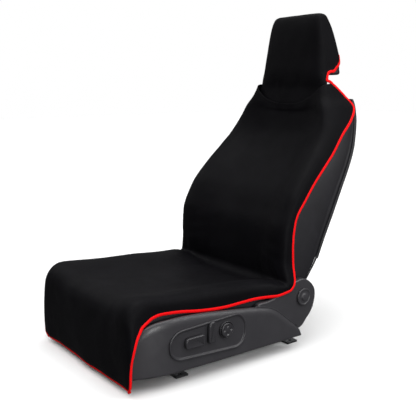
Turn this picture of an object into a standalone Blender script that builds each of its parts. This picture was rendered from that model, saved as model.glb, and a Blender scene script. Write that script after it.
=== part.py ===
"""Power-adjusted car front seat in a slip-on cover: rails, lift, recliner, pads, cover and switches.

Metres, +Z up.  The seat faces -Y, the occupant's left is +X (the side with the switches), and the
origin is on the floor under the middle of the seat.
"""
import math

import bmesh
import bpy
from mathutils import Matrix, Vector

# ---------------------------------------------------------------- driving dimensions
GAP = 0.0004                 # clearance between pieces that touch
RAIL_X = 0.185               # rail centre line from the middle
FOOT_T = 0.006               # thickness of the floor feet
RAIL_FRONT, RAIL_REAR = -0.300, 0.180
CARRIER_FRONT, CARRIER_REAR = -0.262, 0.140
RAIL_BOTTOM = FOOT_T + GAP
RAIL_TOP = 0.0464            # top of the upper rail
LINK_LEN, LINK_ANGLE = 0.080, math.radians(20.0)
LINK_PIVOTS = {"front": -0.235, "rear": 0.020}
LINK_Z = 0.060
LINK_X = (0.195, 0.199)
PIN_R, BORE_R = 0.0050, 0.0056
PLATE_X = (0.204, 0.2065)    # side plates of the cushion frame
HINGE_Y, HINGE_Z = 0.150, 0.163
POST_ANGLE = math.radians(16.0)
COVER_T = 0.003              # thickness of the slip-on cover
PAD_INSET = 0.006            # cover outside to pad outside
BEAD_R = 0.0031              # radius of the red edge binding
BEAD_GAP = 0.0027            # cover edge to binding
VALANCE_X = 0.2805           # outer face of the side valances
WALL = 0.0025                # wall of the moulded covers
POST_X, POST_R = 0.075, 0.006
POST_FOOT = (0.405, 0.820)   # y and z of a point on the headrest posts
SEAT_ROWS, BACK_ROWS = 22, 20  # stations along the cushion cover and the back cover

SIDES = (("left", 1.0), ("right", -1.0))


# ---------------------------------------------------------------- small tools
def clear_scene():
    for old in list(bpy.data.objects):
        bpy.data.objects.remove(old, do_unlink=True)


def material(name, colour, roughness, metallic=0.0):
    made = bpy.data.materials.new(name)
    made.use_nodes = True
    shader = made.node_tree.nodes["Principled BSDF"]
    shader.inputs["Base Color"].default_value = (*colour, 1.0)
    shader.inputs["Roughness"].default_value = roughness
    shader.inputs["Metallic"].default_value = metallic
    return made


def smooth_path(points, count):
    """Catmull-Rom curve of `count` points through the given ones, in any number of dimensions."""
    ends = [points[0]] + list(points) + [points[-1]]
    spans = len(points) - 1
    out = []
    for index in range(count):
        place = index * spans / (count - 1)
        span = min(int(place), spans - 1)
        t = place - span
        a, b, c, d = ends[span:span + 4]
        out.append(tuple(
            0.5 * (2 * q + (r - p) * t + (2 * p - 5 * q + 4 * r - s) * t * t
                   + (3 * q - p - 3 * r + s) * t ** 3)
            for p, q, r, s in zip(a, b, c, d)))
    return out


def loft(bm, rings):
    """Closed skin through rings of equal length, capped at both ends."""
    rows = [[bm.verts.new(point) for point in ring] for ring in rings]
    size = len(rows[0])
    for low, high in zip(rows, rows[1:]):
        for i in range(size):
            j = (i + 1) % size
            bm.faces.new((low[i], low[j], high[j], high[i]))
    bm.faces.new(list(reversed(rows[0])))
    bm.faces.new(rows[-1])


def shell(bm, grid, thickness):
    """Sheet of the given thickness; `grid` is its outer face, row by row."""
    rows, cols = len(grid), len(grid[0])
    grid = [[Vector(p) for p in row] for row in grid]
    inner = []
    for i in range(rows):
        line = []
        for j in range(cols):
            along = grid[min(i + 1, rows - 1)][j] - grid[max(i - 1, 0)][j]
            across = grid[i][min(j + 1, cols - 1)] - grid[i][max(j - 1, 0)]
            line.append(grid[i][j] - along.cross(across).normalized() * thickness)
        inner.append(line)
    top = [[bm.verts.new(p) for p in row] for row in grid]
    low = [[bm.verts.new(p) for p in row] for row in inner]
    for i in range(rows - 1):
        for j in range(cols - 1):
            bm.faces.new((top[i][j], top[i + 1][j], top[i + 1][j + 1], top[i][j + 1]))
            bm.faces.new((low[i][j], low[i][j + 1], low[i + 1][j + 1], low[i + 1][j]))
    edge = [(i, 0) for i in range(rows)] + [(rows - 1, j) for j in range(1, cols)]
    edge += [(i, cols - 1) for i in range(rows - 2, -1, -1)] + [(0, j) for j in range(cols - 2, 0, -1)]
    for (i, j), (k, m) in zip(edge, edge[1:] + edge[:1]):
        bm.faces.new((top[i][j], low[i][j], low[k][m], top[k][m]))


def lathe(bm, start, direction, profile, sides=16, hollow=False):
    """Turned solid: profile is (distance along the axis, radius); a hollow profile is a loop."""
    axis = Vector(direction).normalized()
    side = axis.orthogonal().normalized()
    other = axis.cross(side)
    rings = []
    for distance, radius in profile:
        centre = Vector(start) + axis * distance
        rings.append([centre + (side * math.cos(a) + other * math.sin(a)) * radius
                      for a in (2 * math.pi * k / sides for k in range(sides))])
    if not hollow:
        loft(bm, rings)
        return
    rows = [[bm.verts.new(p) for p in ring] for ring in rings]
    for low, high in zip(rows, rows[1:] + rows[:1]):
        for i in range(sides):
            j = (i + 1) % sides
            bm.faces.new((low[i], low[j], high[j], high[i]))


def rod(bm, start, end, radius, sides=12):
    length = (Vector(end) - Vector(start)).length
    lathe(bm, start, Vector(end) - Vector(start), [(0, radius), (length, radius)], sides)


def pipe(bm, start, end, outer, inner, sides=16):
    length = (Vector(end) - Vector(start)).length
    loop = [(0, outer), (length, outer), (length, inner), (0, inner)]
    lathe(bm, start, Vector(end) - Vector(start), loop, sides, hollow=True)


def sweep(bm, points, radius, sides=6):
    """Round bar along a polyline."""
    points = [Vector(p) for p in points]
    normal = (points[1] - points[0]).orthogonal().normalized()
    rings = []
    for i, point in enumerate(points):
        tangent = (points[min(i + 1, len(points) - 1)] - points[max(i - 1, 0)]).normalized()
        normal = (normal - tangent * normal.dot(tangent)).normalized()
        other = tangent.cross(normal)
        rings.append([point + (normal * math.cos(a) + other * math.sin(a)) * radius
                      for a in (2 * math.pi * k / sides for k in range(sides))])
    loft(bm, rings)


def circle(centre, radius, sides=12):
    return [(centre[0] + radius * math.cos(2 * math.pi * k / sides),
             centre[1] + radius * math.sin(2 * math.pi * k / sides)) for k in range(sides)]


def plate(bm, outline, low, high, axis="x", holes=()):
    """Flat plate with holes: the outline is in the two axes other than `axis`, in their order."""
    order = {"x": lambda p, h: (h, p[0], p[1]), "y": lambda p, h: (p[0], h, p[1]),
             "z": lambda p, h: (p[0], p[1], h)}[axis]
    edges = []
    for loop in [outline, *holes]:
        ring = [bm.verts.new(order(p, low)) for p in loop]
        edges += [bm.edges.new((a, b)) for a, b in zip(ring, ring[1:] + ring[:1])]
    filled = bmesh.ops.triangle_fill(bm, use_beauty=True, edges=edges)["geom"]
    faces = [f for f in filled if isinstance(f, bmesh.types.BMFace)]
    made = bmesh.ops.extrude_face_region(bm, geom=faces, use_keep_orig=True)["geom"]
    raised = [v for v in made if isinstance(v, bmesh.types.BMVert)]
    bmesh.ops.translate(bm, verts=raised, vec=Vector(order((0, 0), high - low)))


def stadium(a, b, radius, steps=8):
    """Outline of a bar with round ends, between two points."""
    angle = math.atan2(b[1] - a[1], b[0] - a[0])
    out = []
    for centre, turn in ((b, -math.pi / 2), (a, math.pi / 2)):
        for k in range(steps + 1):
            at = angle + turn + math.pi * k / steps
            out.append((centre[0] + radius * math.cos(at), centre[1] + radius * math.sin(at)))
    return out


def inset(outline, amount):
    """Outline drawn in by about `amount` all round."""
    ys = [p[0] for p in outline]
    zs = [p[1] for p in outline]
    mid_y, mid_z = (min(ys) + max(ys)) / 2, (min(zs) + max(zs)) / 2
    fy = 1 - 2 * amount / (max(ys) - min(ys))
    fz = 1 - 2 * amount / (max(zs) - min(zs))
    return [(mid_y + (p[0] - mid_y) * fy, mid_z + (p[1] - mid_z) * fz) for p in outline]


def at_x(outline, x, side=1.0):
    return [(side * x, p[0], p[1]) for p in outline]


# ---------------------------------------------------------------- bodies: one empty on each joint
BODIES = {}
BODY_OF = {}                 # pivot of the body that each piece belongs to


def body(name, pivot, parent=None):
    empty = bpy.data.objects.new(name + "_axis", None)
    bpy.context.scene.collection.objects.link(empty)
    origin = Vector((0, 0, 0))
    if parent:
        empty.parent, origin = BODIES[parent]
    empty.location = Vector(pivot) - origin
    BODIES[name] = (empty, Vector(pivot))


def piece(name, body_name, finish, build):
    """One named solid: build(bm) adds its faces in world coordinates."""
    bm = bmesh.new()
    build(bm)
    bmesh.ops.recalc_face_normals(bm, faces=bm.faces)
    mesh = bpy.data.meshes.new(name)
    bm.to_mesh(mesh)
    bm.free()
    empty, pivot = BODIES[body_name]
    mesh.transform(Matrix.Translation(-pivot))
    mesh.shade_smooth()
    mesh.set_sharp_from_angle(angle=math.radians(35))
    mesh.materials.append(finish)
    made = bpy.data.objects.new(name, mesh)
    made.parent = empty
    bpy.context.scene.collection.objects.link(made)
    BODY_OF[name] = pivot
    return made


def boolean(target, operation, build):
    """Join or cut `target` with a hidden solid made by build(bm)."""
    bm = bmesh.new()
    build(bm)
    bmesh.ops.recalc_face_normals(bm, faces=bm.faces)
    mesh = bpy.data.meshes.new(target.name + "_tool")
    bm.to_mesh(mesh)
    bm.free()
    mesh.transform(Matrix.Translation(-Vector(BODY_OF[target.name])))
    tool = bpy.data.objects.new(target.name + "_tool", mesh)
    tool.parent = target.parent
    tool.hide_render = True
    tool.display_type = "WIRE"
    bpy.context.scene.collection.objects.link(tool)
    change = target.modifiers.new(operation.lower(), "BOOLEAN")
    change.operation = operation
    change.solver = "EXACT"
    change.object = tool


clear_scene()
STEEL = material("steel", (0.30, 0.31, 0.32), 0.38, 1.0)
BLACK_STEEL = material("black_steel", (0.025, 0.025, 0.027), 0.45, 0.6)
PLASTIC = material("grey_plastic", (0.045, 0.047, 0.050), 0.45)
SWITCH = material("switch_plastic", (0.030, 0.031, 0.033), 0.35)
FOAM = material("foam", (0.55, 0.50, 0.36), 0.95)
VINYL = material("vinyl", (0.020, 0.021, 0.023), 0.55)
NEOPRENE = material("neoprene", (0.008, 0.008, 0.009), 0.60)
RED = material("red_binding", (0.80, 0.010, 0.012), 0.50)

REST = (LINK_LEN * math.cos(LINK_ANGLE), LINK_LEN * math.sin(LINK_ANGLE))
FRONT_TOP = (LINK_PIVOTS["front"] + REST[0], LINK_Z + REST[1])
REAR_TOP = (LINK_PIVOTS["rear"] + REST[0], LINK_Z + REST[1])
SWITCH_X = 0.2833
CUSHION_SWITCH = (-0.263, 0.119)
RECLINE_SWITCH = (-0.2075, 0.118)
LUMBAR_SWITCH = (-0.155, 0.129)
POST_DIR = Vector((0, math.sin(POST_ANGLE), math.cos(POST_ANGLE)))

body("root", (0, 0, 0))
body("track_slide", (0, 0, RAIL_TOP), "root")
body("rear_links", (0, LINK_PIVOTS["rear"], LINK_Z), "track_slide")
body("front_links", (0, LINK_PIVOTS["front"], LINK_Z), "track_slide")
body("seat_base", (0, *REAR_TOP), "rear_links")
body("backrest", (0, HINGE_Y, HINGE_Z), "seat_base")
body("lumbar", (0, 0.228, 0.345), "backrest")
body("headrest", (0, *POST_FOOT), "backrest")
body("cushion_slider", (SWITCH_X, *CUSHION_SWITCH), "seat_base")
body("cushion_rocker", (SWITCH_X, *CUSHION_SWITCH), "cushion_slider")
body("recline_lever", (SWITCH_X, *RECLINE_SWITCH), "seat_base")
body("lumbar_ring", (SWITCH_X, *LUMBAR_SWITCH), "seat_base")
body("lumbar_pad", (SWITCH_X, *LUMBAR_SWITCH), "lumbar_ring")


# ---------------------------------------------------------------- floor rails
LOWER_RAIL = [(-.022, 0), (.022, 0), (.022, .032), (.011, .032), (.011, .022), (.0132, .022),
              (.0132, .0298), (.0198, .0298), (.0198, .0022), (-.0198, .0022), (-.0198, .0298),
              (-.0132, .0298), (-.0132, .022), (-.011, .022), (-.011, .032), (-.022, .032)]
UPPER_RAIL = [(-.009, .040), (-.009, .0082), (-.0147, .0082), (-.0147, .026), (-.0169, .026),
              (-.0169, .006), (-.0068, .006), (-.0068, .0378), (.0068, .0378), (.0068, .006),
              (.0169, .006), (.0169, .026), (.0147, .026), (.0147, .0082), (.009, .0082), (.009, .040)]
SCREW_Z = RAIL_BOTTOM + 0.020
BAR_Y = {"front": -0.268, "rear": 0.148}


def rail(bm, section, side, ends):
    outline = [(side * RAIL_X + x, RAIL_BOTTOM + z) for x, z in section]
    plate(bm, outline, ends[0], ends[1], "y")


def floor_bar(bm, y):
    """Cross bar under the rails, with a bolt hole inside and outside each rail."""
    ends = (-RAIL_X - .046, RAIL_X + .046)
    outline = [(ends[0], y - .020), (ends[1], y - .020), (ends[1], y + .020), (ends[0], y + .020)]
    holes = [circle((side * (RAIL_X + k), y), .0055, 12) for _, side in SIDES for k in (-.034, .034)]
    plate(bm, outline, 0, FOOT_T, "z", holes)


def lead_screw(bm, side):
    """Fixed spindle with a collar at each end, standing on the floor of the lower rail."""
    length = RAIL_REAR - RAIL_FRONT - .006
    profile = [(0, .0062), (.008, .0062), (.008, .0040), (length - .008, .0040), (length - .008, .0062),
               (length, .0062)]
    lathe(bm, (side * RAIL_X, RAIL_FRONT + .003, SCREW_Z), (0, 1, 0), profile, 12)


for tag, turn in SIDES:
    piece("rail_lower_" + tag, "root", STEEL,
          lambda bm, s=turn: rail(bm, LOWER_RAIL, s, (RAIL_FRONT, RAIL_REAR)))
    piece("lead_screw_" + tag, "root", STEEL, lambda bm, s=turn: lead_screw(bm, s))
for end, at_y in BAR_Y.items():
    piece("floor_bar_" + end, "root", BLACK_STEEL, lambda bm, y=at_y: floor_bar(bm, y))

# ---------------------------------------------------------------- sliding track
SHAFT = (-.221, RAIL_TOP + .0155)


def track_gearbox(bm, side):
    x = side * RAIL_X
    outline = [(SHAFT[0] - .021, RAIL_TOP + GAP), (SHAFT[0] + .021, RAIL_TOP + GAP),
               (SHAFT[0] + .017, RAIL_TOP + .030), (SHAFT[0] - .017, RAIL_TOP + .030)]
    low, high = sorted((x - side * .018, x + side * .0005))
    plate(bm, outline, low, high, "x", [circle(SHAFT, .0040, 10)])


def track_motor(bm):
    loop = [(0, .012), (.004, .019), (.070, .019), (.074, .016), (.110, .016), (.114, .012),
            (.114, .0040), (0, .0040)]
    lathe(bm, (-.055, *SHAFT), (1, 0, 0), loop, 18, hollow=True)


def bracket_plates(bm, side):
    low, high = sorted((side * 0.1865, side * 0.1905))
    for y in LINK_PIVOTS.values():
        outline = [(y - .020, RAIL_TOP - .001), (y + .020, RAIL_TOP - .001), (y + .010, LINK_Z + .011),
                   (y - .010, LINK_Z + .011)]
        plate(bm, outline, low, high, "x")


def pins(bm, side, spots, low, high):
    for y, z in spots:
        rod(bm, (side * low, y, z), (side * high, y, z), PIN_R)


def link(bm, pivot, side):
    low, high = sorted((side * LINK_X[0], side * LINK_X[1]))
    top = (pivot[0] + REST[0], pivot[1] + REST[1])
    holes = [circle(pivot, BORE_R), circle(top, BORE_R)]
    plate(bm, stadium(pivot, top, 0.0125), low, high, "x", holes)


for tag, turn in SIDES:
    upper = piece("rail_upper_" + tag, "track_slide", STEEL,
                  lambda bm, s=turn: rail(bm, UPPER_RAIL, s, (CARRIER_FRONT, CARRIER_REAR)))
    boolean(upper, "UNION", lambda bm, s=turn: bracket_plates(bm, s))
    boolean(upper, "UNION",
            lambda bm, s=turn: pins(bm, s, [(y, LINK_Z) for y in LINK_PIVOTS.values()], .1885, .2005))
    piece("track_gearbox_" + tag, "track_slide", BLACK_STEEL, lambda bm, s=turn: track_gearbox(bm, s))
piece("track_motor", "track_slide", BLACK_STEEL, track_motor)
piece("drive_shaft", "track_slide", STEEL,
      lambda bm: rod(bm, (-RAIL_X + .002, *SHAFT), (RAIL_X - .002, *SHAFT), .0035, 10))

# ---------------------------------------------------------------- lift links
for end in ("rear", "front"):
    for tag, turn in SIDES:
        piece(f"{end}_link_{tag}", end + "_links", BLACK_STEEL,
              lambda bm, e=end, s=turn: link(bm, (LINK_PIVOTS[e], LINK_Z), s))
piece("torsion_tube", "rear_links", BLACK_STEEL,
      lambda bm: rod(bm, (GAP - LINK_X[0], *REAR_TOP), (LINK_X[0] - GAP, *REAR_TOP), .012, 16))

# ---------------------------------------------------------------- cushion frame
SIDE_PLATE = [(-.385, .100), (-.355, .074), (.130, .070), (.165, .100), (.186, .150), (.180, .180),
              (.150, .192), (.120, .180), (.105, .130), (-.370, .128)]


def side_plate(bm, side):
    low, high = sorted((side * PLATE_X[0], side * PLATE_X[1]))
    plate(bm, SIDE_PLATE, low, high, "x", [circle((HINGE_Y, HINGE_Z), .0066)])


def seat_pan(bm):
    """Pressed pan under the thighs, with a turned-down front lip and a dished floor."""
    rows = smooth_path([(-.402, .100), (-.398, .122), (-.360, .128), (-.280, .122), (-.190, .118)], 9)
    grid = []
    for y, z in rows:
        grid.append([(x, y, z - .006 * (1 - (x / .200) ** 2)) for x in
                     (-.200, -.150, -.080, 0, .080, .150, .200)])
    shell(bm, grid, .0015)


def seat_springs(bm):
    """One wire bent into four zigzag runs between the pan and the torsion tube."""
    turns = 10
    path = []
    for run, x in enumerate((-.135, -.045, .045, .135)):
        line = []
        for k in range(turns + 1):
            swing = 0.020 * (-1 if k % 2 else 1)
            sag = .008 * math.sin(math.pi * k / turns)
            line += [(x + swing, -.184 + .250 * k / turns + half, .1170 - sag) for half in (-.005, .005)]
        path += line if run % 2 == 0 else line[::-1]
    sweep(bm, path, .0018, 6)


def lift_motor(bm):
    lathe(bm, (.070, -.100, .090), (1, 0, 0), [(0, .008), (.003, .0125), (.062, .0125), (.068, .008),
                                              (.070, .013), (.094, .013), (.096, .009)], 18)


def recliner_plate(bm, side):
    pipe(bm, (side * .1975, HINGE_Y, HINGE_Z), (side * .2036, HINGE_Y, HINGE_Z), .030, .0066, 24)


for tag, turn in SIDES:
    frame_side = piece("side_plate_" + tag, "seat_base", BLACK_STEEL, lambda bm, s=turn: side_plate(bm, s))
    boolean(frame_side, "UNION", lambda bm, s=turn: pins(bm, s, [FRONT_TOP, REAR_TOP], .1955, .2052))
    piece("recliner_plate_" + tag, "seat_base", STEEL, lambda bm, s=turn: recliner_plate(bm, s))
piece("seat_pan", "seat_base", BLACK_STEEL, seat_pan)
piece("seat_springs", "seat_base", STEEL, seat_springs)
piece("lift_motor", "seat_base", BLACK_STEEL, lift_motor)

# ---------------------------------------------------------------- cushion, its cover and binding
# each row: front or top edge of the bolster (y, z), edge of the cover on the side (y, z), half width
CUSHION = [
    (.064, .2125, .086, .1920, .2800), (.030, .2205, .036, .187, .2790), (-.035, .227, -.035, .187, .263),
    (-.140, .234, -.140, .185, .262), (-.240, .238, -.240, .194, .262), (-.335, .245, -.322, .205, .261),
    (-.389, .250, -.352, .206, .260), (-.417, .245, -.376, .202, .2585), (-.437, .229, -.3945, .1925, .2600),
    (-.448, .208, -.410, .184, .263), (-.453, .162, -.430, .157, .270), (-.456, .093, -.447, .099, .2705),
    (-.456, .040, -.450, .041, .267), (-.449, .0165, -.4485, .0165, .259)]
FLAP_ROW = 14                # station where the cover leaves the cushion and hangs free
CUSHION_DIP = 0.020
# across the cushion from the middle: share of the half width, share of the dip, drop over the edge
CROSS = [(0, 1, 0), (.26, 1, 0), (.50, .80, 0), (.66, .35, -.03), (.80, .04, -.09), (.90, 0, -.10),
         (.968, 0, 0), (1, 0, .30), (1, 0, 1)]


def cushion_row(row, trim=0.0):
    """Points across the cover, from the middle to the left edge, for one row of the table."""
    top_y, top_z, side_y, side_z, half = row
    drop = Vector((0, side_y - top_y, side_z - top_z))
    depth = max(drop.length - trim, 0.0005)
    half -= trim * max(0.0, 1 - drop.length / .020)
    down = drop.normalized() if drop.length > .004 else Vector((0, 1, 0))
    dip = CUSHION_DIP * min(1.0, max(0.0, (top_z - .150) / .070))
    out = []
    for share, hollow, fall in CROSS:
        point = Vector((share * half, top_y, top_z)) + down * (fall * depth)
        out.append(point + Vector((0, 0.25 if top_z < .245 and top_y < -.40 else 0, -1)) * dip * hollow)
    return out


def both_sides(half):
    return [Vector((-p[0], p[1], p[2])) for p in reversed(half[1:])] + list(half)


def cover_rows():
    """Rows of the seat cover, with the last one lifted off the binding along the hem."""
    rows = smooth_path(CUSHION, SEAT_ROWS)
    lift = BEAD_R + BEAD_GAP
    rows[-1] = (rows[-1][0], rows[-1][1] + lift, rows[-1][2], rows[-1][3] + lift, rows[-1][4])
    return rows


def cover_shell(bm, rows):
    shell(bm, [both_sides(cushion_row(row, BEAD_R + BEAD_GAP)) for row in reversed(rows)], COVER_T)


def cover_seat(bm):
    """The part of the cover that lies on the cushion."""
    rows = cover_rows()[:FLAP_ROW + 1]
    rows[-1] = tuple(a + (b - a) * .92 for a, b in zip(rows[-2], rows[-1]))
    cover_shell(bm, rows)


def cover_flap(bm):
    """The part of the cover that hangs in front of the cushion."""
    cover_shell(bm, cover_rows()[FLAP_ROW:])


def binding_seat(bm):
    left = [Vector((row[4], row[2], row[3])) for row in smooth_path(CUSHION, SEAT_ROWS)]
    right = [Vector((-p[0], p[1], p[2])) for p in reversed(left)]
    hem = [Vector((x, -.449, .0165)) for x in (.220, .110, 0, -.110, -.220)]
    sweep(bm, left + hem + right, BEAD_R, 6)


def cushion_pad(bm):
    """Foam cushion: one ring per station from the back to the nose."""
    rings = []
    for y, top, bottom, half in ((.060, .200, .142, .244), (.020, .214, .138, .252), (-.035, .221, .1345, .254),
                                 (-.140, .228, .1345, .254), (-.240, .232, .1345, .254),
                                 (-.335, .238, .1345, .252), (-.385, .2425, .1345, .250),
                                 (-.412, .236, .1345, .247), (-.427, .222, .140, .244),
                                 (-.435, .206, .150, .240)):
        soft = min(.024, (top - bottom) * .35)
        dip = CUSHION_DIP if y > -.42 else CUSHION_DIP * .5
        half_ring = [(0, top - dip), (.26 * half, top - dip), (.50 * half, top - .80 * dip),
                     (.80 * half, top - .04 * dip), (.94 * half, top - .2 * soft), (half, top - soft),
                     (half, bottom + .010), (half - .010, bottom)]
        ring = [(x, y, z) for x, z in half_ring]
        rings.append(ring + [(-x, y, z) for x, y, z in reversed(ring[1:])])
    loft(bm, rings)


piece("cushion_pad", "seat_base", FOAM, cushion_pad)
piece("cover_seat", "seat_base", NEOPRENE, cover_seat)
piece("cover_flap", "seat_base", NEOPRENE, cover_flap)
piece("binding_seat", "seat_base", RED, binding_seat)

# ---------------------------------------------------------------- side mouldings and switches
VALANCE_LOW = [(-.449, .058), (-.440, .047), (-.400, .044), (-.300, .042), (-.100, .041), (.137, .042)]
VALANCE_HIGH = [(-.449, .098), (-.444, .125), (-.430, .156), (-.405, .178), (-.370, .190), (-.310, .193),
                (-.235, .189), (-.145, .179), (-.078, .171), (-.030, .164), (.012, .154), (.040, .140),
                (.062, .123), (.086, .103), (.112, .082), (.132, .062), (.137, .048)]
RECLINER_COVER = [(-.029, .168), (.011, .174), (.053, .184), (.089, .203), (.116, .214), (.149, .2175),
                  (.177, .202), (.195, .178), (.196, .148), (.185, .116), (.163, .091), (.131, .067),
                  (.060, .080), (-.010, .120)]
LOBE_X = (.2660, .2752)


def tray(bm, outline, side, open_x, face_x, wall):
    """Moulded cover: a rounded face at `face_x` whose rim reaches in to `open_x`."""
    inner = inset(outline, wall)
    back = face_x - wall
    layers = [(inset(inner, .012), back), (inset(inner, .0015), back - .0003), (inner, open_x),
              (outline, open_x), (outline, face_x - .0030), (inset(outline, .0015), face_x - .0014),
              (inset(outline, .005), face_x - .0004), (inset(outline, .013), face_x)]
    loft(bm, [at_x(loop, x, side) for loop, x in layers])


def height_at(line, y):
    """z of a drawn line at y."""
    for (y0, z0), (y1, z1) in zip(line, line[1:]):
        if y <= y1:
            return z0 + (z1 - z0) * (y - y0) / (y1 - y0)
    return line[-1][1]


def valance(bm, side):
    """Side moulding: one profile per station, from the lower rim over the face to the upper rim."""
    stations = [-.449, -.445, -.438, -.428, -.415, -.400, -.375, -.340, -.290, -.230, -.160, -.095, -.045,
                -.040, .000, .030, .060, .090, .115, .130, .137]
    grid = []
    for y in stations:
        low, high = height_at(VALANCE_LOW, y), height_at(VALANCE_HIGH, y)
        tall = high - low
        rim = .2757 if y > -.042 else .270
        line = [(0, rim), (0, VALANCE_X - .0030), (.0015, VALANCE_X - .0012), (.006, VALANCE_X - .0003)]
        across = [(min(z, tall * share), x) for (z, x), share in zip(line, (0, 0, .10, .25))]
        across += [(tall * share, VALANCE_X) for share in (.36, .64)]
        across += [(tall - min(z, tall * share), x)
                   for (z, x), share in zip(reversed(line), (.25, .10, 0, 0))]
        grid.append([(side * (x - nose_curve(y)), y, low + z) for z, x in across])
    shell(bm, grid if side > 0 else [list(reversed(row)) for row in grid], WALL)


def nose_curve(y):
    """The front of the valance turns in towards the middle."""
    return 0.030 * max(0.0, (-.325 - y) / .125) ** 2


def rounded_panel(centre, half_y, half_z, corner, steps=6):
    out = []
    for turn, (sy, sz) in enumerate(((1, 1), (-1, 1), (-1, -1), (1, -1))):
        for k in range(steps + 1):
            a = math.pi / 2 * (turn + k / steps)
            out.append((centre[0] + sy * (half_y - corner) + corner * math.cos(a),
                        centre[1] + sz * (half_z - corner) + corner * math.sin(a)))
    return out


def switch_panel(bm):
    """Oval plate with a raised lip around a sunk field."""
    loop = rounded_panel((-.212, .117), .130, .047, .042)
    loop = [(y, z + (y + .212) * .045 * (z - .117) / .047) for y, z in loop]
    layers = [(loop, VALANCE_X + GAP), (loop, .2840), (inset(loop, .0015), .2856),
              (inset(loop, .0040), .2858), (inset(loop, .0060), .2842), (inset(loop, .0070), .2822)]
    loft(bm, [at_x(ring, x) for ring, x in layers])


def knob(bm, outline, low, high, taper, foot=None):
    """Key with a rounded top edge, standing on a smaller foot where it reaches over the panel's lip."""
    layers = [(outline, low), (outline, high - .0025), (inset(outline, taper * .4), high - .0008),
              (inset(outline, taper), high)]
    if foot:
        layers[0] = (outline, foot)
        layers = [(inset(outline, .010), low), (inset(outline, .010), foot)] + layers
    loft(bm, [at_x(ring, x) for ring, x in layers])


def recline_cap(bm, side):
    """Stepped round cap over the recliner's axis."""
    profile = [(0, .0265), (.0055, .0265), (.0072, .0250), (.0072, .0215), (.0060, .0205), (.0060, .0120),
               (.0085, .0105), (.0104, .0080)]
    lathe(bm, (side * (LOBE_X[1] + GAP), HINGE_Y - .003, HINGE_Z), (side, 0, 0), profile, 24)


for tag, turn in SIDES:
    piece("valance_" + tag, "seat_base", PLASTIC,
          lambda bm, s=turn: valance(bm, s))
    piece("recliner_cover_" + tag, "seat_base", PLASTIC,
          lambda bm, s=turn: tray(bm, RECLINER_COVER, s, LOBE_X[0], LOBE_X[1], WALL))
    piece("recliner_cap_" + tag, "seat_base", PLASTIC, lambda bm, s=turn: recline_cap(bm, s))
piece("switch_panel", "seat_base", PLASTIC, switch_panel)

BAR_KEY = [(-.031, -.014), (.030, -.016), (.032, .010), (.027, .017), (-.028, .016), (-.033, .004)]
LEVER_KEY = [(-.012, -.014), (.010, -.014), (.0125, -.004), (.0125, .036), (.009, .0465), (-.005, .0465),
             (-.011, .036), (-.0125, .004)]


def shifted(outline, spot):
    return [(spot[0] + y, spot[1] + z) for y, z in outline]


piece("cushion_switch_slider", "cushion_slider", SWITCH,
      lambda bm: plate(bm, stadium((-.280, .119), (-.246, .119), .008), SWITCH_X, SWITCH_X + .0012, "x"))
piece("cushion_switch_key", "cushion_rocker", SWITCH,
      lambda bm: knob(bm, shifted(BAR_KEY, CUSHION_SWITCH), SWITCH_X + .0017, .2945, .004))
piece("recline_switch_key", "recline_lever", SWITCH,
      lambda bm: knob(bm, shifted(LEVER_KEY, RECLINE_SWITCH), SWITCH_X, .2945, .0035, .2864))
piece("lumbar_switch_ring", "lumbar_ring", SWITCH,
      lambda bm: pipe(bm, (SWITCH_X, *LUMBAR_SWITCH), (SWITCH_X + .0012, *LUMBAR_SWITCH), .018, .010, 20))
piece("lumbar_switch_key", "lumbar_pad", SWITCH,
      lambda bm: lathe(bm, (SWITCH_X + .0024, *LUMBAR_SWITCH), (1, 0, 0),
                       [(0, .0225), (.0055, .0235), (.0075, .0215), (.0070, .0120), (.0060, .0040)], 24))

# ---------------------------------------------------------------- backrest frame
# each row: front edge (y, z), rear edge (y, z), distance of the plate's middle from the centre line
MEMBER = [(.140, .142, .160, .142, .193), (.126, .163, .174, .163, .193), (.135, .190, .184, .190, .193),
          (.168, .232, .205, .232, .193), (.205, .300, .245, .300, .193), (.250, .385, .285, .385, .193),
          (.300, .476, .333, .476, .193), (.345, .556, .380, .556, .186), (.372, .630, .418, .630, .172),
          (.368, .680, .438, .684, .160)]
MEMBER_HALF = 0.003
TOP_TUBE = (.3835, .668, .160)


def post_at(z):
    """y of the headrest post axis at height z."""
    return POST_FOOT[0] + (z - POST_FOOT[1]) * math.tan(POST_ANGLE)


def back_side(bm, side):
    rings = []
    for fy, fz, ry, rz, x in MEMBER:
        low, high = side * (x - MEMBER_HALF), side * (x + MEMBER_HALF)
        rings.append([(low, fy, fz), (high, fy, fz), (high, ry, rz), (low, ry, rz)])
    loft(bm, rings)


def headrest_guide(bm, side):
    """Plastic sleeve for one post, with a wider collar on top."""
    start = Vector((side * POST_X, post_at(.682), .682))
    length = .095
    loop = [(0, .0092), (length - .008, .0092), (length - .008, .0125), (length, .0120),
            (length, POST_R + .0007), (0, POST_R + .0007)]
    lathe(bm, start, POST_DIR, loop, 14, hollow=True)


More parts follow.
